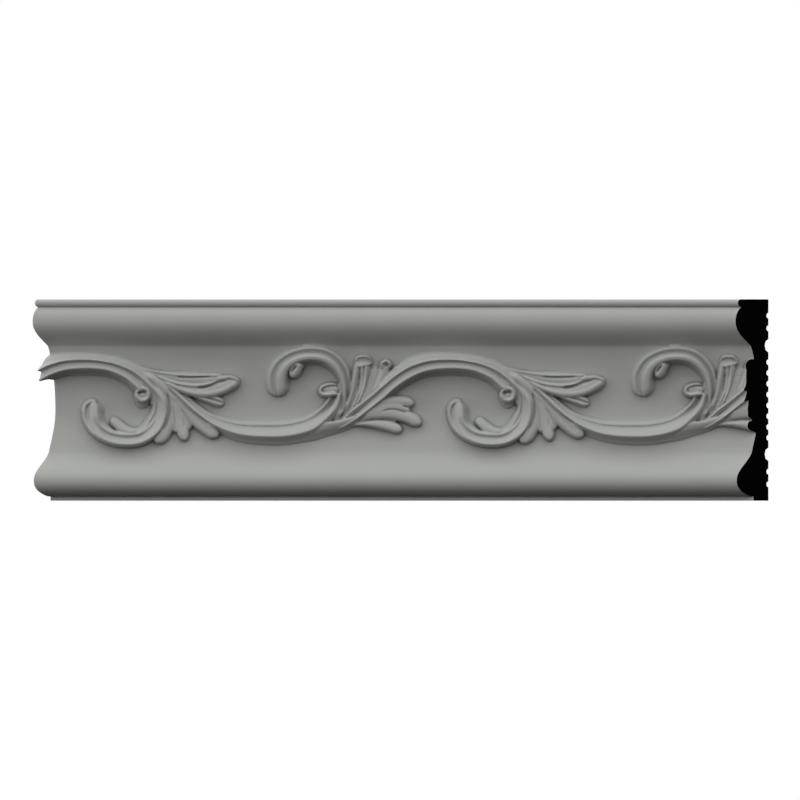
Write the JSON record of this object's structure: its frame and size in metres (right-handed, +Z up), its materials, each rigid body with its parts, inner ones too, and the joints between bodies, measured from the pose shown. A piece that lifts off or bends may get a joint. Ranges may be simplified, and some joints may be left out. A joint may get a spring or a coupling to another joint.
{
  "type": "panel moulding",
  "caption": "Straight length of flat wall moulding with an upper and a lower bead and a running acanthus scroll in relief, fixed by its back to frame a wall panel.",
  "frame": {"origin": "middle of the back face, half way along the length and half way up the height, on the flat land between the two middle grooves", "axes": "+X along the moulding, to the right seen from the front; +Y out of the back, into the wall; +Z up, towards the top roll; the carved front faces -Y"},
  "size_m": [0.3594, 0.016, 0.0984],
  "materials": {
    "primed_face": "grey primer coat, satin, on smooth cast dense foam; the cut ends are coated matte black"
  },
  "bodies": {
    "root": {"panel_moulding": "primed_face"}
  },
  "joints": []
}
